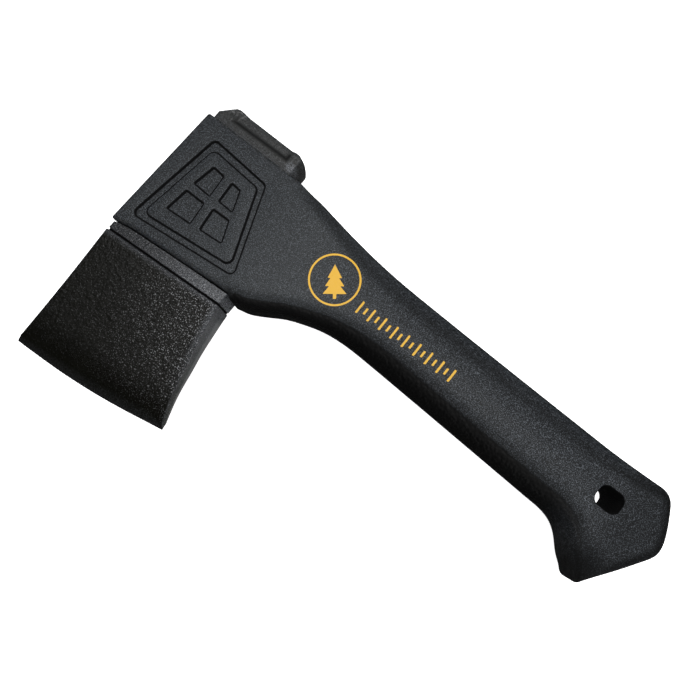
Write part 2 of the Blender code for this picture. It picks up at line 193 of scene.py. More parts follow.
# Painted shade: the belly's rounding is coloured near black as if it faced away from the light; its pebbles
# and roughness are its own.
BELLY_PAINTED_SHADE = (0.001, 0.001, 0.001, 1)
GRAIN_NOISE = (2.0, 1.5, 0.5)
FINE_GRAIN_NOISE = (3.4, 2.0, 0.6)
GRAIN_CLOUD_NOISE = (0.07, 2.0, 0.5)
COMPOSITE_GLINT_NOISE = (3.2, 1.0, 0.5)
COMPOSITE_GLINT_BAND = (0.49, 0.72)
COMPOSITE_GLINT_FADE = (-70.0, 20.0, 0.85, 1.05)
NECK_SHEEN_START_FADE = (-100.0, -65.0, 0.4, 1.0)
NECK_SHEEN_END_FADE = (-40.0, 0.0, 1.0, 0.0)
GRAIN_WORN_BAND = (0.5, 0.65)
PAINTED_SHADE_STRENGTH = 0.93
SIDE_ROUGH = (0.3, 0.7, 0.42, 0.58)
BELLY_ROUGH = (0.3, 0.7, 0.36, 0.56)
COMPOSITE_SPECULAR = 0.2
BELLY_PEBBLE_SCALE = 0.8
BELLY_PEBBLE_SMOOTH = 0.4
BELLY_PEBBLE_HEIGHT = -1.6

STEEL_OLIVE = (0.0014, 0.0014, 0.0009, 1)
STEEL_GREY = (0.0038, 0.0038, 0.0026, 1)
# Painted glints: pale specks that stand in for light glinting off the pebbled skin.
STEEL_GLINT = (0.27, 0.275, 0.285, 1)
# Painted light: a paler colour on the underside and the poll that stands in for reflected light.
STEEL_PAINTED_LIGHT = (0.103, 0.105, 0.102, 1)
# Worn, and a painted highlight that rises along the land and at the cheek's corner.
STEEL_WEAR_AND_HIGHLIGHT = (0.165, 0.175, 0.195, 1)
# Painted shade: near black in the groove, at the foot of the poll's recess and behind the collar.
STEEL_PAINTED_SHADE = (0.0003, 0.0003, 0.0003, 1)
STEEL_PEBBLE_NOISE = (1.15, 2.0, 0.5)
STEEL_FINE_NOISE = (4.0, 1.0, 0.5)
STEEL_CLOUD_NOISE = (0.12, 2.0, 0.5)
GLINT_NOISE = (2.1, 2.0, 0.6)
GLINT_BAND = (0.59, 0.66)
GLINT_LEAST = 0.14
STEEL_WORN_BAND = (0.42, 0.62)
SKIN_ROUGH = (0.3, 0.7, 0.28, 0.42)
GROUND_ROUGH = 0.2
FINE_SHARE = 0.4
STEEL_SPECULAR = 0.16

PLUG_DARK = (0.008, 0.008, 0.008, 1)
PLUG_PALE = (0.016, 0.016, 0.016, 1)
PLUG_NOISE = (3.0, 3.0, 0.6)
PLUG_ROUGH = (0.3, 0.7, 0.4, 0.5)
PLUG_BUMP = 0.6
PLUG_SPECULAR = 0.3

INK_GOLD = (0.70, 0.40, 0.035, 1)
INK_THIN = (0.36, 0.21, 0.04, 1)
INK_NOISE = (1.35, 5.0, 0.75)
INK_THIN_FADE = (0.62, 0.8, 0.0, 0.4)
INK_ROUGH = (0.3, 0.7, 0.4, 0.55)
INK_SPECULAR = 0.2

RELIEF = 0.00017
FAINT_RELIEF = 0.00004


def shader(tree, kind, settings=None, **inputs):
    """A shader node with its settings, and its inputs as constants or as sockets to link."""
    made = tree.nodes.new("ShaderNode" + kind)
    for key, value in (settings or {}).items():
        setattr(made, key, value)
    for key, value in inputs.items():
        numbered = key[0] == "i" and key[1:].isdigit()
        socket = made.inputs[int(key[1:]) if numbered else key]
        if isinstance(value, bpy.types.NodeSocket):
            tree.links.new(value, socket)
        else:
            socket.default_value = value
    return made


def new_material(name):
    made = bpy.data.materials.new(name)
    made.use_nodes = True
    tree = made.node_tree
    return made, tree, tree.nodes["Principled BSDF"]


def finish_surface(tree, surface, colour, roughness, height, relief, strength=1.0):
    """Links a surface's colour, roughness and the relief that its bump shows."""
    bump = shader(tree, "Bump", Strength=strength, Distance=relief, Height=height)
    tree.links.new(colour, surface.inputs["Base Color"])
    tree.links.new(roughness, surface.inputs["Roughness"])
    tree.links.new(bump.outputs[0], surface.inputs["Normal"])


def millimetres(tree):
    """Object coordinates counted in millimetres."""
    coords = shader(tree, "TexCoord").outputs["Object"]
    return shader(tree, "VectorMath", {"operation": "SCALE"}, i0=coords, Scale=1 / MM).outputs[0]


def noise_of(tree, where, kind):
    scale, detail, roughness = kind
    made = shader(tree, "TexNoise", Vector=where, Scale=scale, Detail=detail, Roughness=roughness)
    return made.outputs["Fac"]


def remap(tree, value, low, high, to_low=0.0, to_high=1.0):
    kind = {"interpolation_type": "SMOOTHSTEP"}
    return shader(tree, "MapRange", kind, i0=value, i1=low, i2=high, i3=to_low, i4=to_high).outputs[0]


def maths(tree, operation, a, b):
    return shader(tree, "Math", {"operation": operation}, i0=a, i1=b).outputs[0]


def product(tree, a, b):
    return maths(tree, "MULTIPLY", a, b)


def mixed(tree, factor, a, b):
    """Two numbers mixed by a factor."""
    made = shader(tree, "Mix", {"data_type": "FLOAT"}, i0=factor, i2=a, i3=b)
    return made.outputs[0]


def mixed_colour(tree, factor, a, b):
    made = shader(tree, "Mix", {"data_type": "RGBA"}, i0=factor, i6=a, i7=b)
    return made.outputs[2]


def attribute(tree, name):
    made = shader(tree, "Attribute")
    made.attribute_name = name
    return made.outputs["Fac"]


def floor_material():
    made, _, surface = new_material("pale_floor")
    surface.inputs["Base Color"].default_value = FLOOR_COLOUR
    surface.inputs["Roughness"].default_value = FLOOR_ROUGH
    surface.inputs["Specular IOR Level"].default_value = FLOOR_SPECULAR
    surface.inputs["Emission Color"].default_value = WHITE
    surface.inputs["Emission Strength"].default_value = FLOOR_GLOW
    return made


def composite_material():
    """Charcoal fibre-filled plastic: spark-eroded grain on the sides, glossier pebbles on the belly."""
    made, tree, surface = new_material("charcoal_composite")
    where = millimetres(tree)
    belly, wear, crease = (attribute(tree, name) for name in ("belly", "wear", "crease"))
    grain, fine, cloud, glint_specks = (
        noise_of(tree, where, kind)
        for kind in (GRAIN_NOISE, FINE_GRAIN_NOISE, GRAIN_CLOUD_NOISE, COMPOSITE_GLINT_NOISE)
    )
    pebble = shader(
        tree, "TexVoronoi", {"feature": "SMOOTH_F1"},
        Vector=where, Scale=BELLY_PEBBLE_SCALE, Smoothness=BELLY_PEBBLE_SMOOTH, Randomness=1.0,
    )
    length = shader(tree, "SeparateXYZ", Vector=where).outputs["X"]
    # A painted sheen lightens the neck.
    neck_sheen = product(tree, remap(tree, length, *NECK_SHEEN_START_FADE), remap(tree, length, *NECK_SHEEN_END_FADE))
    plain = mixed_colour(tree, cloud, COMPOSITE_COOL, COMPOSITE_WARM)
    plain = mixed_colour(tree, neck_sheen, plain, COMPOSITE_NECK_PAINTED_SHEEN)
    # Painted glints as sparse pale specks.
    sparkle = product(tree, remap(tree, glint_specks, *COMPOSITE_GLINT_BAND), remap(tree, length, *COMPOSITE_GLINT_FADE))
    glinted = mixed_colour(tree, sparkle, plain, COMPOSITE_PAINTED_GLINT)
    # Worn places, and a painted highlight on the belly's rim line.
    worn_and_highlit = product(tree, wear, remap(tree, grain, *GRAIN_WORN_BAND))
    worn = mixed_colour(tree, worn_and_highlit, glinted, COMPOSITE_WEAR_AND_HIGHLIGHT)
    # Painted shade darkens the marked places and also makes them rough.
    sides = mixed_colour(tree, product(tree, crease, PAINTED_SHADE_STRENGTH), worn, PAINTED_SHADE_COLOUR)
    # The belly's near-black colour is painted shade.
    colour = mixed_colour(tree, belly, sides, BELLY_PAINTED_SHADE)
    rough = mixed(tree, belly, remap(tree, fine, *SIDE_ROUGH), remap(tree, fine, *BELLY_ROUGH))
    rough = mixed(tree, crease, rough, 1.0)
    height = mixed(tree, belly, grain, product(tree, pebble.outputs["Distance"], BELLY_PEBBLE_HEIGHT))
    finish_surface(tree, surface, colour, rough, height, RELIEF)
    surface.inputs["Specular IOR Level"].default_value = COMPOSITE_SPECULAR
    return made


def steel_material():
    """Black coating over forged steel, with a pebbled skin that fades on the ground bevel."""
    made, tree, surface = new_material("coated_steel")
    where = millimetres(tree)
    skin, wear, gloss, flank, dark = (
        attribute(tree, name) for name in ("skin", "wear", "gloss", "flank", "dark")
    )
    pebble, fine, cloud, glint = (
        noise_of(tree, where, kind)
        for kind in (STEEL_PEBBLE_NOISE, STEEL_FINE_NOISE, STEEL_CLOUD_NOISE, GLINT_NOISE)
    )
    plain = mixed_colour(tree, cloud, STEEL_OLIVE, STEEL_GREY)
    # Painted glints on the pebbled skin.
    glint_spot = product(tree, remap(tree, glint, *GLINT_BAND), skin)
    glints = product(tree, glint_spot, maths(tree, "ADD", gloss, GLINT_LEAST))
    glinted = mixed_colour(tree, glints, plain, STEEL_GLINT)
    # Painted reflected light on the underside and the poll.
    with_painted_light = mixed_colour(tree, flank, glinted, STEEL_PAINTED_LIGHT)
    # Worn places, and a painted highlight on the land and the cheek's corner.
    worn_and_highlit = product(tree, wear, remap(tree, fine, *STEEL_WORN_BAND))
    worn = mixed_colour(tree, worn_and_highlit, with_painted_light, STEEL_WEAR_AND_HIGHLIGHT)
    # Painted shade darkens the groove and the poll's recess and seam, and also makes them rough.
    colour = mixed_colour(tree, dark, worn, STEEL_PAINTED_SHADE)
    rough = mixed(tree, skin, GROUND_ROUGH, remap(tree, fine, *SKIN_ROUGH))
    rough = mixed(tree, dark, rough, 1.0)
    height = product(tree, maths(tree, "ADD", pebble, product(tree, fine, FINE_SHARE)), skin)
    finish_surface(tree, surface, colour, rough, height, RELIEF)
    surface.inputs["Specular IOR Level"].default_value = STEEL_SPECULAR
    return made


def plug_material():
    made, tree, surface = new_material("plug_plastic")
    grain = noise_of(tree, millimetres(tree), PLUG_NOISE)
    colour = mixed_colour(tree, grain, PLUG_DARK, PLUG_PALE)
    finish_surface(tree, surface, colour, remap(tree, grain, *PLUG_ROUGH), grain, FAINT_RELIEF, PLUG_BUMP)
    surface.inputs["Specular IOR Level"].default_value = PLUG_SPECULAR
    return made


def ink_material():
    """Gold pad print, thin where the grain below stands proud."""
    made, tree, surface = new_material("gold_ink")
    grain = noise_of(tree, millimetres(tree), INK_NOISE)
    colour = mixed_colour(tree, remap(tree, grain, *INK_THIN_FADE), INK_GOLD, INK_THIN)
    finish_surface(tree, surface, colour, remap(tree, grain, *INK_ROUGH), grain, FAINT_RELIEF)
    surface.inputs["Specular IOR Level"].default_value = INK_SPECULAR
    return made


# Curves and outlines.

def along(knots, x):
    """The height at x of a smooth curve through knots, which are sorted by x."""
    last = len(knots) - 1
    i = 0
    while i < last - 1 and x > knots[i + 1][0]:
        i += 1
    a, b = knots[i], knots[i + 1]
    before = knots[i - 1] if i > 0 else a
    after = knots[i + 2] if i + 2 <= last else b
    step = b[0] - a[0]
    rise_a = (b[1] - before[1]) / (b[0] - before[0])
    rise_b = (after[1] - a[1]) / (after[0] - a[0])
    t = min(max((x - a[0]) / step, 0.0), 1.0)
    keep = 2 * t**3 - 3 * t**2 + 1
    return (
        keep * a[1]
        + (t**3 - 2 * t**2 + t) * step * rise_a
        + (1 - keep) * b[1]
        + (t**3 - t**2) * step * rise_b
    )


def ease(value, low, high):
    """0 below low, 1 above high, and smooth between."""
    t = min(max((value - low) / (high - low), 0.0), 1.0)
    return t * t * (3 - 2 * t)


def lerp(a, b, t):
    return a + (b - a) * t


def profiled(profile, x):
    """A profile's value at x: its start and the changes so far."""
    value = profile[0]
    for change, low, high in profile[1:]:
        value += change * ease(x, low, high)
    return value


def rounded(corners, radius, steps=8):
    """A polygon's outline with each corner replaced by an arc."""
    outline = []
    count = len(corners)
    for i in range(count):
        here = Vector(corners[i])
        back = (Vector(corners[i - 1]) - here).normalized()
        ahead = (Vector(corners[(i + 1) % count]) - here).normalized()
        half = back.angle(ahead) / 2
        reach = radius / math.tan(half)
        centre = here + (back + ahead).normalized() * (radius / math.sin(half))
        start = here + back * reach - centre
        turn = start.angle_signed(here + ahead * reach - centre)
        for k in range(steps + 1):
            outline.append(centre + start @ Matrix.Rotation(turn * k / steps, 2))
    return np.array([(p.x, p.y) for p in outline])


def resampled(outline, spacing):
    """A closed outline with points at an even spacing."""
    ring = np.vstack([outline, outline[:1]])
    steps = np.linalg.norm(np.diff(ring, axis=0), axis=1)
    reach = np.concatenate([[0.0], np.cumsum(steps)])
    count = int(round(reach[-1] / spacing))
    at = np.arange(count) * reach[-1] / count
    return np.stack([np.interp(at, reach, ring[:, k]) for k in range(ring.shape[1])], axis=1)


def inward(outline):
    """The unit direction into a closed outline that runs anticlockwise, at each point."""
    ahead = np.roll(outline, -1, axis=0) - np.roll(outline, 1, axis=0)
    ahead /= np.linalg.norm(ahead, axis=1)[:, None]
    return np.stack([-ahead[:, 1], ahead[:, 0]], axis=1)


def anticlockwise(outline):
    x, y = outline[:, 0], outline[:, 1]
    area = (x * np.roll(y, -1) - y * np.roll(x, -1)).sum()
    return outline if area > 0 else outline[::-1]


# Meshes.

POINT_DIGITS = 4
FILL_EPSILON = 1e-6
# Edges that turn more than this many degrees are sharp.
SHARP_ANGLE = 24
PRINT_SHARP_ANGLE = 28


class Shell:
    """Faces on shared points, in millimetres from the middle plane, with numbers kept at each point."""

    def __init__(self, *marks):
        self.index = {}
        self.points = []
        self.faces = []
        self.marks = {name: [] for name in marks}

    def add(self, point, **marks):
        key = tuple(round(float(c), POINT_DIGITS) for c in point)
        if key not in self.index:
            self.index[key] = len(self.points)
            self.points.append(key)
            for name, values in self.marks.items():
                values.append(float(marks.get(name, 0.0)))
        return self.index[key]

    def strip(self, low, high):
        """Quads between two closed rings of equal length."""
        size = len(low)
        self.faces += [(low[i - 1], low[i], high[i], high[i - 1]) for i in range(size)]

    def fill(self, loops, interior=()):
        """Triangles inside the first loop and outside the others, through the interior points."""
        points = [tuple(p) for loop in loops for p in loop] + [tuple(p) for p in interior]
        edges = []
        start = 0
        for loop in loops:
            size = len(loop)
            edges += [(start + i, start + (i + 1) % size) for i in range(size)]
            start += size
        flat = [Vector(p[:2]) for p in points]
        _, _, faces, origins, _, _ = delaunay_2d_cdt(flat, edges, [], 0, FILL_EPSILON)
        faces = [[origins[i][0] for i in face] for face in faces if all(origins[i] for i in face)]
        middles = np.array([[sum(points[i][k] for i in face) / 3 for k in (0, 1)] for face in faces])
        crossings = sum(inside(np.array(loop)[:, :2], middles).astype(int) for loop in loops)
        for face, count in zip(faces, crossings):
            if count == 1:
                self.faces.append(tuple(self.add(points[i]) for i in face))

    def mirror(self):
        """Adds the same shell on the other side of the middle plane."""
        other = []
        for number, (x, y, z) in enumerate(list(self.points)):
            marks = {name: values[number] for name, values in self.marks.items()}
            other.append(self.add((x, y, -z if z else z), **marks))
        self.faces += [tuple(other[i] for i in reversed(face)) for face in list(self.faces)]

    def piece(self, name, material, sharp=SHARP_ANGLE):
        mesh = bpy.data.meshes.new(name)
        shift = (*CENTRE, MIDDLE)
        corners = [tuple((c + s) * MM for c, s in zip(point, shift)) for point in self.points]
        mesh.from_pydata(corners, [], self.faces)
        for mark, values in self.marks.items():
            mesh.attributes.new(mark, "FLOAT", "POINT").data.foreach_set("value", values)
        work = bmesh.new()
        work.from_mesh(mesh)
        bmesh.ops.recalc_face_normals(work, faces=work.faces)
        work.to_mesh(mesh)
        work.free()
        return new_piece(name, mesh, material, sharp)


def new_piece(name, mesh, material, sharp):
    mesh.materials.append(material)
    mesh.shade_smooth()
    mesh.set_sharp_from_angle(angle=math.radians(sharp))
    made = bpy.data.objects.new(name, mesh)
    bpy.context.scene.collection.objects.link(made)
    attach(made, "root")
    return made


def inside(loop, places):
    """Which places are inside a closed loop."""
    x, y = places[:, 0][:, None], places[:, 1][:, None]
    ax, ay = loop[:, 0], loop[:, 1]
    bx, by = np.roll(ax, -1), np.roll(ay, -1)
    spans = (ay > y) != (by > y)
    with np.errstate(divide="ignore", invalid="ignore"):
        cross = ax + (y - ay) * (bx - ax) / (by - ay)
    return ((spans & (x < cross)).sum(axis=1) % 2) == 1


# The handle.

SPACING = 0.6
FACE_SPACING = 1.4
FACE_ROW_SPACING = FACE_SPACING * 0.866
STRAIGHT_LEVELS = 5
ROUND_LEVELS = 14

COLLAR_LINE = ((-113.2, -2.8), (-106.0, -1.3), (-97.0, -0.4), (-78.0, 1.2), (-62.6, 2.3))
BELLY = COLLAR_LINE + (
    (-62.1, 1.3), (-60.4, 0.9), (-58.1, 1.3), (-54.8, 2.2), (-49.4, 5.2), (-43.0, 9.0), (-36.1, 11.7),
    (-28.9, 13.8), (-21.5, 14.8), (-12.0, 15.0), (66.0, 12.8), (73.0, 12.6), (78.2, 11.4), (82.6, 8.8),
    (87.8, 4.2), (91.6, 1.5),
)
SPINE = (
    (-111.6, 50.0), (-72.2, 50.0), (-71.4, 50.3), (-65.5, 50.5), (-59.3, 50.3), (-52.2, 49.4),
    (-45.1, 48.5), (-38.0, 47.8), (-30.8, 47.1), (-16.4, 46.1), (5.2, 45.6), (34.0, 45.2), (62.8, 44.9),
    (84.3, 44.5), (98.3, 44.6),
)
BUTT = (
    (93.0, 0.1), (94.3, -0.8), (95.3, -0.6), (96.4, 1.2), (99.3, 5.6), (103.3, 11.5), (107.3, 17.5),
    (110.1, 21.9), (110.98, 24.1), (111.07, 26.4), (110.6, 29.2), (108.88, 33.8), (106.1, 39.4),
    (104.2, 42.4), (101.6, 44.2),
)

FRAME_OUTER = ((-103.0, 43.4), (-77.2, 41.6), (-64.5, 7.9), (-108.5, 2.8))
FRAME_INNER = ((-100.6, 39.9), (-79.0, 38.6), (-68.1, 10.4), (-105.2, 6.0))
FRAME_ROUND = 2.2
WINDOWS = (
    ((-96.5, 35.0), (-91.2, 34.6), (-90.4, 25.3), (-98.2, 25.6)),
    ((-87.5, 34.5), (-83.2, 34.2), (-80.0, 25.8), (-86.8, 26.0)),
    ((-98.6, 22.1), (-90.2, 22.2), (-89.2, 13.1), (-99.8, 12.2)),
    ((-86.5, 22.7), (-79.1, 23.0), (-75.6, 14.5), (-85.4, 13.6)),
)
WINDOW_ROUND = 0.7
RECESS_DEPTH = 0.8
STEP_TOP_ROUND = 0.28
STEP_FOOT_ROUND = 0.14
STEP_ARC = 4
CREASE_WIDTH = 0.32
CREASE_DEPTH = 0.45
CREASE_SIDE = 0.05
CREASE_FADE = 0.1
LANYARD = (86.35, 28.9)
LANYARD_SIZE = (9.8, 8.0)
LANYARD_ROUND = 3.0
LANYARD_LIP = 0.35
LANYARD_STEPS = 6
LANYARD_SHADE_RINGS = (2, 5)

# A profile along the handle: its value at the head, then each change with the x where it starts and ends.
HALF = (MIDDLE, (-1.8, -62, -25), (1.1, 55, 90))
CROWN = (0.0, (1.4, -62, 0), (-0.8, 60, 88))
CROWN_REACH = 12.0
BELLY_INSET = (1.7, (1.5, -64, -60), (4.0, -48, -2), (-4.5, 77, 93))
BELLY_HEIGHT = (2.1, (5.6, -64, -58), (2.3, -50, -5), (-4.3, 80, 94))
SPINE_INSET = (0.8, (2.4, -72, -60), (2.9, -60, -25), (-3.4, 75, 105))
SPINE_HEIGHT = (1.0, (7.0, -72, -60), (1.6, -60, -25), (-4.0, 75, 105))
QUARTER = math.pi / 2
BELLY_CREASED = (0.0, (1.0, -40, 0), (-1.0, 60, 90))
BELLY_CREASE_ANGLE = 0.45
# The belly mask also lays the belly's painted shade.
BELLY_MASK = (0.0, (1.0, -66, -60), (-0.85, 70, 92))
BUTT_INSET = (3.0, (-1.0, 95, 103))
BUTT_HEIGHT = (6.2, (-2.0, 95, 103))
BUTT_MASK = (0.15, (-0.15, 95, 103))
COLLAR_END = (0.9, 1.0, QUARTER, 0.0)
COLLAR_END_STEPS = 80
OUTLINE_PASSES = 3
ROUNDING_PASSES = 60
SMOOTH_FROM_X = 70
FLAT_TO_X = -66.0
FACE_CLEAR = 0.7
HOLE_CLEAR = 0.5

# The painted highlight on the belly's rim line, and the painted shade at the toe, the butt and the rim, as
# marks on the mesh.
RIM_PAINTED_HIGHLIGHT = (0.0, (0.5, -30, -12))
COLLAR_WEAR_TO_X = -60
TOE_AT = (93, 1)
TOE_SHADE = (0.97, (-0.97, 4, 20))
BUTT_FACE_SHADE = (0.0, (0.32, 82, 96))
RIM_SHADE = (0.0, (0.5, -74, -56), (0.42, 82, 102))
RIM_REACH = 4.0


def belly_rounding(x):
    """Inset and height of the rounding, and the angle that its arc turns through."""
    angle = QUARTER - BELLY_CREASE_ANGLE * profiled(BELLY_CREASED, x)
    return profiled(BELLY_INSET, x), profiled(BELLY_HEIGHT, x), angle


def butt_curve(points, steps=12):
    """A smooth curve through points."""
    made = []
    for i in range(1, len(points) - 2):
        a, b, c, d = (np.array(p) for p in points[i - 1:i + 3])
        square, cube = 2 * a - 5 * b + 4 * c - d, 3 * b - a - 3 * c + d
        for k in range(steps):
            t = k / steps
            made.append(0.5 * (2 * b + (c - a) * t + square * t**2 + cube * t**3))
    return made


def smooth(values, passes, where=True):
    """Moves the rows of a closed ring halfway to the middle of their neighbours, pass after pass."""
    for _ in range(passes):
        middle = (np.roll(values, 1, axis=0) + np.roll(values, -1, axis=0)) / 2
        values += np.where(where, (middle - values) * 0.5, 0.0)


def handle_outline():
    """Rows of x, y, inset, height, angle and belly mask round the handle, anticlockwise."""
    rows = []
    for x in np.arange(COLLAR_LINE[0][0], BELLY[-1][0], SPACING / 2):
        rows.append((x, along(BELLY, x), *belly_rounding(x), profiled(BELLY_MASK, x)))
    for x, y in butt_curve((BELLY[-2], BELLY[-1], *BUTT, SPINE[-1], SPINE[-2])):
        inset, height, mask = (profiled(profile, x) for profile in (BUTT_INSET, BUTT_HEIGHT, BUTT_MASK))
        rows.append((x, y, inset, height, QUARTER, mask))
    for x in np.arange(SPINE[-1][0], SPINE[0][0], -SPACING / 2):
        rows.append((x, along(SPINE, x), profiled(SPINE_INSET, x), profiled(SPINE_HEIGHT, x), QUARTER, 0.0))
    for k in range(COLLAR_END_STEPS):
        x, y = (lerp(SPINE[0][i], BELLY[0][i], k / COLLAR_END_STEPS) for i in (0, 1))
        rows.append((x, y, *COLLAR_END))
    ring = resampled(np.array(rows), SPACING)
    smooth(ring[:, :2], OUTLINE_PASSES)
    smooth(ring[:, 2:], ROUNDING_PASSES, ring[:, :1] > SMOOTH_FROM_X)
    return ring


def rim_distance(rim, places):
    """The distance from each place to a closed ring."""
    a = rim[:, :2]
    run = np.roll(a, -1, axis=0) - a
    length = (run**2).sum(axis=1)
    out = []
    for place in places:
        t = np.clip(((place - a) * run).sum(axis=1) / length, 0, 1)
        out.append(np.sqrt((((a + run * t[:, None]) - place) ** 2).sum(axis=1)).min())
    return np.array(out)


def face_height(rim, places):
    """The side face's height over the middle plane, which swells away from its rim."""
    depth = 1 - (1 - np.minimum(rim_distance(rim, places) / CROWN_REACH, 1)) ** 2
    return np.array([profiled(HALF, x) + profiled(CROWN, x) * d for x, d in zip(places[:, 0], depth)])


def step_rings(outline, high, low, outside):
    """Rings down a step in a flat face, whose high side is outside or inside the outline."""
    out = -inward(outline) if outside else inward(outline)
    turns = [QUARTER * k / STEP_ARC for k in range(STEP_ARC + 1)]
    top, foot = STEP_TOP_ROUND, STEP_FOOT_ROUND
    rings = [(top * (1 - math.sin(a)), high - top * (1 - math.cos(a))) for a in turns]
    rings += [(-foot * (1 - math.cos(a)), low + foot * (1 - math.sin(a))) for a in turns]
    start, end = -foot, -foot - CREASE_WIDTH
    rings += [(start - CREASE_SIDE, low - CREASE_DEPTH), (end + CREASE_SIDE, low - CREASE_DEPTH)]
    rings += [(end, low), (end - CREASE_FADE, low)]
    return [np.column_stack([outline + out * shift, np.full(len(outline), z)]) for shift, z in rings]


def painted_step_shade(rings):
    """Painted shade for the rings of a step: full down the wall and at its foot, and none at both ends."""
    return [0.0] + [1.0] * (len(rings) - 2) + [0.0]


def add_rings(shell, rings, painted_shades=None):
    painted_shades = painted_shades or [0.0] * len(rings)
    numbers = [[shell.add(p, crease=crease) for p in ring] for ring, crease in zip(rings, painted_shades)]
    for low, high in zip(numbers, numbers[1:]):
        shell.strip(low, high)


def wall_wear_and_highlight(x, mask, turned):
    """Wear on the collar's rounding, and a painted highlight on the line where the belly meets the side
    face.
    """
    if turned == 1:
        # A painted highlight along the belly's rim line.
        return mask * profiled(RIM_PAINTED_HIGHLIGHT, x)
    return math.sin(math.pi * turned) * (x < COLLAR_WEAR_TO_X)


def handle_walls(shell, ring):
    """The walls from the middle plane up to the rim. Returns the rim."""
    into = inward(ring[:, :2])
    levels = [(k / STRAIGHT_LEVELS, 0.0) for k in range(STRAIGHT_LEVELS)]
    levels += [(1.0, k / ROUND_LEVELS) for k in range(ROUND_LEVELS + 1)]
    numbers = []
    for raised, turned in levels:
        row = []
        for (x, y, inset, height, angle, mask), (nx, ny) in zip(ring, into):
            shift = inset * (1 - math.cos(angle * turned)) / (1 - math.cos(angle))
            rise = (profiled(HALF, x) - height) * raised
            rise += height * math.sin(angle * turned) / math.sin(angle)
            point = (x + nx * shift, y + ny * shift, rise)
            row.append(shell.add(point, belly=mask * (turned < 1), wear=wall_wear_and_highlight(x, mask, turned)))
        numbers.append(row)
    for low, high in zip(numbers, numbers[1:]):
        shell.strip(low, high)
    return np.array([shell.points[i] for i in numbers[-1]])


def slot_outline():
    x, y = LANYARD
    half_x, half_y = LANYARD_SIZE[0] / 2, LANYARD_SIZE[1] / 2
    signs = ((-1, -1), (1, -1), (1, 1), (-1, 1))
    corners = [(x + across * half_x, y + up * half_y) for across, up in signs]
    return anticlockwise(rounded(corners, LANYARD_ROUND))


def lanyard_rings(rim):
    """Rings down the lanyard slot's rounded lip and wall to the middle plane."""
    outline = slot_outline()
    out = -inward(outline)
    rings = []
    for k in range(LANYARD_STEPS + 1):
        a = QUARTER * k / LANYARD_STEPS
        shape = outline + out * LANYARD_LIP * (1 - math.sin(a))
        rings.append(np.column_stack([shape, face_height(rim, shape) - LANYARD_LIP * (1 - math.cos(a))]))
    base = rings[-1]
    for k in range(1, LANYARD_STEPS + 1):
        rings.append(np.column_stack([base[:, :2], base[:, 2] * (1 - k / LANYARD_STEPS)]))
    return rings


def face_points(rim, holes):
    """Points spread over the side face where it is not flat."""
    low, high = rim.min(axis=0), rim.max(axis=0)
    places = []
    for j, y in enumerate(np.arange(low[1], high[1], FACE_ROW_SPACING)):
        offset = FACE_SPACING / 2 * (j % 2)
        places += [(x + offset, y) for x in np.arange(FLAT_TO_X, high[0], FACE_SPACING)]
    places = np.array(places)
    places = places[inside(rim[:, :2], places)]
    places = places[rim_distance(rim, places) > FACE_CLEAR]
    for hole in holes:
        places = places[~inside(hole[:, :2], places) & (rim_distance(hole, places) > HOLE_CLEAR)]
    return np.column_stack([places, face_height(rim, places)])


def handle_shade(x, y, far):
    """How much painted shade a place gets: most at the toe of the butt, and towards the rim, which is far
    away or near.
    """
    toe = profiled(TOE_SHADE, math.hypot(x - TOE_AT[0], y - TOE_AT[1]))
    edge = profiled(RIM_SHADE, x) * (1 - ease(far, 0, RIM_REACH))
    return max(toe, profiled(BUTT_FACE_SHADE, x), edge)


def make_handle(material):
    """The handle's moulding. Returns its rim, which the print is laid out from."""
    shell = Shell("belly", "wear", "crease")
    rim = handle_walls(shell, handle_outline())
    low = MIDDLE - RECESS_DEPTH
    outer = step_rings(anticlockwise(rounded(FRAME_OUTER, FRAME_ROUND)), MIDDLE, low, True)
    inner = step_rings(anticlockwise(rounded(FRAME_INNER, FRAME_ROUND)), MIDDLE, low, False)
    windows = [
        step_rings(anticlockwise(rounded(corners, WINDOW_ROUND)), MIDDLE, low, True) for corners in WINDOWS
    ]
    slot = lanyard_rings(rim)
    for rings in (outer, inner, *windows):
        add_rings(shell, rings, painted_step_shade(rings))
    # Painted shade down inside the lanyard slot.
    add_rings(shell, slot, [ease(k, *LANYARD_SHADE_RINGS) for k in range(len(slot))])
    shell.fill([rim, outer[0], slot[0]], face_points(rim, [outer[0], slot[0]]))
    shell.fill([outer[-1], inner[-1]])
    shell.fill([inner[0]] + [rings[0] for rings in windows])
    for rings in windows:
        shell.fill([rings[-1]])
    # Painted shade at the toe, on the butt's end and along the rim.
    painted_shades = shell.marks["crease"]
    far = rim_distance(rim, np.array(shell.points)[:, :2])
    for number, (x, y, _) in enumerate(shell.points):
        painted_shades[number] = max(painted_shades[number], handle_shade(x, y, far[number]))
    shell.mirror()
    handle = shell.piece("handle_moulding", material)
    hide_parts("handle")
    return rim


# The head.

EDGE_LINE = ((-114.3, -59.3), (-108.7, -59.05), (-91.8, -57.8), (-73.4, -55.3), (-51.4, -50.9))
BEVEL_LINE = (
    (-114.1, -56.4), (-99.0, -54.4), (-80.3, -51.7), (-63.6, -48.7), (-58.0, -47.8), (-52.6, -48.6),
)
GROOVE_LINE = ((-112.7, -6.3), (-63.4, -3.0))
UNDERSIDE = (
    (-51.0, -51.3), (-47.8, -52.5), (-41.9, -54.7), (-36.8, -56.2), (-29.0, -57.9), (-21.0, -59.7),
    (-11.0, -61.4), (-4.2, -62.4), (4.0, -63.1),
)
TOP_SIDE = ((-60.0, -114.3), (-54.5, -113.8), (-30.2, -113.0), (-8.4, -112.8))
EDGE_HALF = 0.12
BEVEL_HALF = 2.7
CHEEK_HALF = 10.0
LAND_HALF = 9.7
GROOVE_HALF = 8.3
LAND_STEP = (0.3, -0.3)
GROOVE_WIDTH = 0.7
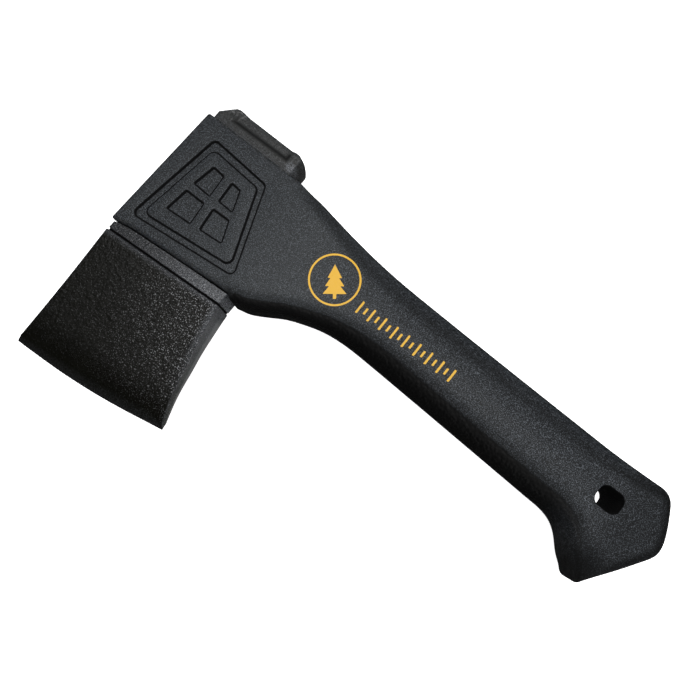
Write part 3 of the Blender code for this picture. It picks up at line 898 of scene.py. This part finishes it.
WAIST_HALF = 6.5
WAIST_X = (-108.0, -74.2)
SEAM = 0.45
GAP = 0.3
POLL_SIDE = 50.0
POLL_BACK = 58.9
POLL_HALF = 9.6
POLL_X = (-110.3, -73.9)
POLL_RECESS = ((-105.8, 53.3), (-78.1, 54.0), (-77.7, 64.0), (-104.0, 64.0), (-104.0, 57.4), (-106.4, 55.0))
POLL_RECESS_DEPTH = 1.3
POLL_SINK = (-0.6, 1.9)
POLL_FACE_START = POLL_SIDE + 1
POLL_DENT = (-104.9, 56.2)
POLL_DENT_SIZE = (1.3, 1.1)
POLL_DENT_DEPTH = 0.5
POLL_WORN = (-75.2, 52.6)
POLL_WORN_SIZE = (math.sqrt(5), 2.0)
# The underside's swell and its power.
PLAIN = (0.0, 1.0)
RIDGE = (0.35, 1.0)
BULGE = (1.3, 3.0)
COLUMNS = 130
SIDE_COLUMNS = 14
CORNER_WEAR = 1.2
PEBBLE_HEIGHT = 0.075
PEBBLE_SINK = 0.05
PEBBLE_FROM_Z = 0.5
# Each layer's scale per millimetre, strength and shift along z.
PEBBLE_LAYERS = ((0.75, 0.6, 0), (1.5, 0.55, 40))
# The part of the way between two stations over which the skin changes.
SKIN_CHANGE = 0.25
POLL_PAINTED_LIGHT = 0.2
CORNER_STEPS = 5


def shifted(line, distance):
    return [(x, y + distance) for x, y in line]


def level_line(y):
    return (WAIST_X[0], y), (WAIST_X[1], y)


def side_range(line):
    """Where a line meets the head's top side and its underside."""
    return along(TOP_SIDE, along(line, line[0][0])), along(UNDERSIDE, along(line, line[-1][0]))


# skin says how pebbled the coating is, wear how worn it is with painted highlight on the land, and side how
# the underside swells.
Station = namedtuple("Station", "line x_range half corner skin wear rows side")


def groove_station(part, *rest):
    """A station a part of the groove's width past the groove's middle."""
    return Station(shifted(GROOVE_LINE, GROOVE_WIDTH * part), *rest)


def poll_station(y, cut, narrowing, *rest):
    """A station across the poll, whose corners are cut and whose thickness is narrowed."""
    ends = (POLL_X[0] + cut[0], POLL_X[1] - cut[1])
    return Station(level_line(y), ends, POLL_HALF - narrowing, 0.8, *rest, BULGE)


def head_stations():
    """Stops from the cutting edge to the poll, with the rows of points from the one before to each."""
    cheek_end = shifted(GROOVE_LINE, -GROOVE_WIDTH)
    top, under = side_range(cheek_end)
    inner = (top + LAND_STEP[0], under + LAND_STEP[1])
    shoulder = shifted(COLLAR_LINE, -SEAM)
    waist_start, waist_end = shifted(shoulder, GAP / 2), level_line(POLL_SIDE + GAP / 2)
    edge_range = (EDGE_LINE[0][0], EDGE_LINE[-1][0])
    return (
        Station(EDGE_LINE, edge_range, EDGE_HALF, EDGE_HALF / 2, 0.0, 0.1, 1, PLAIN),
        Station(BEVEL_LINE, side_range(BEVEL_LINE), BEVEL_HALF, 0.5, 0.15, 0.0, 10, RIDGE),
        Station(cheek_end, (top, under), CHEEK_HALF, 0.9, 1.0, 0.0, 110, RIDGE),
        groove_station(-0.7, (top + 0.2, under), CHEEK_HALF - 0.15, 0.8, 0.6, 0.5, 2, PLAIN),
        groove_station(-0.4, inner, GROOVE_HALF, 0.5, 0.3, 0.0, 3, PLAIN),
        groove_station(0.4, inner, GROOVE_HALF, 0.5, 0.3, 0.0, 2, PLAIN),
        groove_station(0.6, inner, LAND_HALF - 0.1, 0.6, 0.5, 0.5, 3, PLAIN),
        groove_station(0.8, inner, LAND_HALF, 0.6, 0.5, 0.45, 2, PLAIN),
        Station(shoulder, inner, LAND_HALF, 0.6, 0.5, 0.4, 9, PLAIN),
        Station(waist_start, WAIST_X, WAIST_HALF, 1.5, 0.0, 0.0, 1, PLAIN),
        Station(waist_end, WAIST_X, WAIST_HALF, 1.5, 0.0, 0.0, 6, PLAIN),
        poll_station(POLL_SIDE + GAP, (0.0, 0.0), 0.2, 0.5, 0.3, 1),
        poll_station(POLL_SIDE + GAP + 0.3, (0.0, 0.0), 0.0, 0.6, 0.3, 1),
        poll_station(POLL_BACK - 5.5, (0.0, 0.0), 0.0, 0.6, 0.1, 12),
        poll_station(POLL_BACK - 1.4, (3.9, 0.0), 0.0, 0.6, 0.2, 14),
        poll_station(POLL_BACK - 0.5, (4.7, 0.7), 0.3, 0.6, 0.3, 3),
        poll_station(POLL_BACK, (5.4, 1.7), 0.9, 0.4, 0.12, 3),
    )


def polygon_depth(corners, place):
    """How far a place is inside a convex polygon that runs clockwise or anticlockwise."""
    nearest = 1e9
    centre = Vector((sum(c[0] for c in corners), sum(c[1] for c in corners))) / len(corners)
    for a, b in zip(corners, corners[1:] + corners[:1]):
        run = (Vector(b) - Vector(a)).normalized()
        side = Vector((-run.y, run.x))
        if side.dot(centre - Vector(a)) < 0:
            side = -side
        nearest = min(nearest, side.dot(Vector(place) - Vector(a)))
    return nearest


def head_loop(x_range, half, corner, bulge, power):
    """A row's x, z and share of the face: round the near face, underside, far face and top side."""
    top, under = x_range
    turns = [QUARTER * k / CORNER_STEPS for k in range(CORNER_STEPS + 1)]
    flat = half - corner
    near = []
    for a in turns[:-1]:
        near.append((top + corner * (1 - math.cos(a)), half - corner * (1 - math.sin(a)), a / QUARTER))
    for k in range(COLUMNS + 1):
        near.append((lerp(top + corner, under - corner, k / COLUMNS), half, 1.0))
    for a in turns[1:]:
        x, z = under - corner * (1 - math.sin(a)), half - corner * (1 - math.cos(a))
        near.append((x, z, 1 - a / QUARTER))
    side = []
    for k in range(1, SIDE_COLUMNS):
        across = 1 - 2 * k / SIDE_COLUMNS
        side.append((under + bulge * (1 - abs(across) ** power), flat * across, 0.0))
    far = [(x, -z, share) for x, z, share in reversed(near)]
    back = [(top, lerp(-flat, flat, k / SIDE_COLUMNS), 0.0) for k in range(1, SIDE_COLUMNS)]
    return near + side + far + back


# How bright the painted glints are, how worn the steel is with painted highlight, and how much painted
# light and painted shade it gets. A span is where it starts and where it is full.
POLL_START = 5
UNDER_PAINTED_GLINT = (0.3, (0.5, -50, -8))
UNDER_PAINTED_GLINT_SPAN = (-42, -4)
CORNER_PAINTED_GLINT = (0.0, (0.35, -5, -1))
LAND_PAINTED_GLINT = (0.0, (0.6, -7, -5))
# The land's worn colour grows along x as a painted highlight.
LAND_WEAR_AND_HIGHLIGHT = (0.65, (1.0, -104, -62))
CHEEK_WEAR = (0.0, (0.45, -3.0, -0.6))
# Worn, with a painted highlight, at the cheek's corner by the underside.
CHEEK_CORNER_WEAR_AND_HIGHLIGHT = (0.0, (0.55, -3, -0.5))
CHEEK_CORNER_SPAN = (-40, -8)
FACET_SPAN = (-0.6, 0.6)
POLL_PAINTED_LIGHT_FACETS = (0.5, 1.0)
PAINTED_LIGHT_FACETS = (0.3, 1.0)
PAINTED_LIGHT_SPAN = (6, 9)
PAINTED_LIGHT_FROM_X = -85
POLL_FOOT_SHADE = 3.0
POLL_FOOT_SPAN = (-105, -102)
POLL_FOOT_BACK_SPAN = (1.5, 2.5)
POLL_SEAM_SHADE = (0.9, (-0.9, 0.6, 1.5))
GROOVE_SHADE_SPAN = (0.05, 0.4)


def blot(place, centre, size):
    """1 at a centre, and less away from it."""
    away = [(p - c) / s for p, c, s in zip(place, centre, size)]
    return math.exp(-(away[0] ** 2 + away[1] ** 2))


def painted_glint_at(x, y):
    """How bright the painted glints on the skin's high spots are: most beside the underside and the collar.
    """
    if y >= POLL_START:
        return 0.0
    land = profiled(LAND_PAINTED_GLINT, y)
    if y >= 0:
        return land
    inside_edge = x - along(UNDERSIDE, y)
    spread = ease(inside_edge, *UNDER_PAINTED_GLINT_SPAN) * profiled(UNDER_PAINTED_GLINT, y)
    return spread + profiled(CORNER_PAINTED_GLINT, inside_edge) + land


def worn_and_highlit_skin(x, y, worn):
    """Wear on the land, on the cheek's end and on the poll's corner, more towards the underside; a painted
    highlight rises along the land and at the cheek's corner.
    """
    past = y - along(GROOVE_LINE, x)
    if y > POLL_START:
        return max(worn, blot((x, y), POLL_WORN, POLL_WORN_SIZE))
    if past > GROOVE_WIDTH / 2:
        return worn * profiled(LAND_WEAR_AND_HIGHLIGHT, x)
    corner = profiled(CHEEK_CORNER_WEAR_AND_HIGHLIGHT, x - along(UNDERSIDE, y)) * ease(y, *CHEEK_CORNER_SPAN)
    return max(worn, profiled(CHEEK_WEAR, past), corner)


def painted_light_at(x, y, z, share):
    """How much painted reflected light the head's smoother skin gets: most on the lower facet of the
    underside.
    """
    facet = ease(-z, *FACET_SPAN)
    if y > POLL_START:
        return POLL_PAINTED_LIGHT * (1.0 if share > 0 else lerp(*POLL_PAINTED_LIGHT_FACETS, facet))
    if share > 0 or x < PAINTED_LIGHT_FROM_X:
        return 0.0
    return ease(-y, *PAINTED_LIGHT_SPAN) * lerp(*PAINTED_LIGHT_FACETS, facet)


def pebbles(x, y, z):
    """The forged skin's relief, from -1 to 1."""
    relief = 0.0
    for scale, strength, shift in PEBBLE_LAYERS:
        relief += strength * noise.noise(Vector((x, y, z + shift)) * scale)
    return relief


def poll_relief(x, y):
    """How deep the poll's side face is sunk at a place, and how much painted shade it gets."""
    sunk = ease(polygon_depth(POLL_RECESS, (x, y)), *POLL_SINK)
    depth = sunk * POLL_RECESS_DEPTH + POLL_DENT_DEPTH * blot((x, y), POLL_DENT, POLL_DENT_SIZE)
    foot = POLL_FOOT_SHADE * sunk * (1 - sunk)
    foot *= ease(POLL_BACK - y, *POLL_FOOT_BACK_SPAN) * ease(x, *POLL_FOOT_SPAN)
    return depth, max(foot, profiled(POLL_SEAM_SHADE, y - POLL_SIDE))


def head_ring(shell, start, stop, t):
    """One row of points round the head, a part t of the way from one station to the next."""
    span = [lerp(start.x_range[i], stop.x_range[i], t) for i in (0, 1)]
    if start.line is BEVEL_LINE:
        ends = [
            lerp(along(start.line, start.line[i][0]), along(stop.line, stop.line[i][0]), t) for i in (0, -1)
        ]
        span = [along(TOP_SIDE, ends[0]), along(UNDERSIDE, ends[1])]
    half, corner, worn = (lerp(getattr(start, k), getattr(stop, k), t) for k in ("half", "corner", "wear"))
    rough = lerp(start.skin, stop.skin, min(1.0, t / SKIN_CHANGE))
    swell = lerp(start.side[0], stop.side[0], t)
    ring = []
    for x, z, share in head_loop(span, half, corner, swell, stop.side[1]):
        y = lerp(along(start.line, x), along(stop.line, x), t)
        in_groove = abs(y - along(GROOVE_LINE, x)) < GROOVE_WIDTH
        # Painted shade in the narrow groove.
        dark = ease(LAND_HALF - half, *GROOVE_SHADE_SPAN) * in_groove
        if y > POLL_FACE_START and share > 0.5:
            sink, dark = poll_relief(x, y)
            z -= math.copysign(sink, z)
        lift = PEBBLE_HEIGHT * rough * pebbles(x, y, z) * (abs(z) > PEBBLE_FROM_Z)
        z += math.copysign(lift - PEBBLE_SINK * rough, z) * share
        marks = {
            "skin": rough,
            "wear": max(worn_and_highlit_skin(x, y, worn), CORNER_WEAR * share * (1 - share)),
            "gloss": painted_glint_at(x, y),
            "flank": painted_light_at(x, y, z, share),
            "dark": dark,
        }
        ring.append(shell.add((x, y, z), **marks))
    return ring


def make_head(material):
    shell = Shell("skin", "wear", "gloss", "flank", "dark")
    stations = head_stations()
    rings = [head_ring(shell, stations[0], stations[0], 1.0)]
    for start, stop in zip(stations, stations[1:]):
        rings += [head_ring(shell, start, stop, k / stop.rows) for k in range(1, stop.rows + 1)]
    shell.faces += [tuple(rings[0]), tuple(rings[-1])]
    for low, high in zip(rings, rings[1:]):
        shell.strip(low, high)
    head = shell.piece("head_forging", material)
    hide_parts("axe_head")


# The plug.

def make_plug(material):
    """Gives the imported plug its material: its shape is already as fine as the real one's."""
    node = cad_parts["butt_plug"]
    node.data.materials.clear()
    node.data.materials.append(material)


# The print: a plain ring with a plain conifer, and a row of plain bars.

INK = 0.03
PRINT_SPACING = 0.5
RING_AT = (-35.8, 30.0)
RING_RADIUS = 9.25
RING_LINE = 0.7
TREE_TURN = math.radians(128)
TREE_SIDE = (
    (5.6, 0.0), (0.6, 2.6), (0.6, 1.5), (-2.4, 3.5), (-2.4, 2.0), (-5.2, 4.3), (-5.2, 0.6), (-7.0, 0.6),
)
BAR_START = (-22.5, 27.8)
BAR_END = (18.0, 28.8)
BARS = 17
BAR_LINE = 0.8
BAR_HEIGHTS = (5.0, 2.6)


def print_patch(name, rim, loops, material):
    """A thin raised patch of ink that follows the side face."""
    shell = Shell()
    top, foot = [], []
    for loop in loops:
        places = resampled(np.array(loop, dtype=float), PRINT_SPACING)
        height = face_height(rim, places)
        top.append(np.column_stack([places, height + INK]))
        foot.append(np.column_stack([places, height - INK]))
    for upper, lower in zip(top, foot):
        add_rings(shell, [lower, upper])
    shell.fill(top)
    shell.fill(foot)
    ink = shell.piece(name, material, PRINT_SHARP_ANGLE)


def circle(radius, count=96):
    return [
        (RING_AT[0] + radius * math.cos(a), RING_AT[1] + radius * math.sin(a))
        for a in (2 * math.pi * k / count for k in range(count))
    ]


def tree_place(along_trunk, across):
    c, s = math.cos(TREE_TURN), math.sin(TREE_TURN)
    return RING_AT[0] + along_trunk * c - across * s, RING_AT[1] + along_trunk * s + across * c


def make_print(rim, material):
    ring = [circle(RING_RADIUS + RING_LINE / 2), circle(RING_RADIUS - RING_LINE / 2)]
    print_patch("print_ring", rim, ring, material)
    tree = [tree_place(up, out) for up, out in TREE_SIDE]
    tree += [tree_place(up, -out) for up, out in TREE_SIDE[:0:-1]]
    print_patch("print_tree", rim, [tree], material)
    side = BAR_LINE / 2
    for k in range(BARS):
        x, y = (lerp(BAR_START[i], BAR_END[i], k / (BARS - 1)) for i in (0, 1))
        half = BAR_HEIGHTS[k % 2] / 2
        bar = [(x - side, y - half), (x + side, y - half), (x + side, y + half), (x - side, y + half)]
        print_patch("print_bar_%02d" % k, rim, [bar], material)


add_camera()
add_studio()
rim_ring = make_handle(composite_material())
make_head(steel_material())
make_plug(plug_material())
make_print(rim_ring, ink_material())
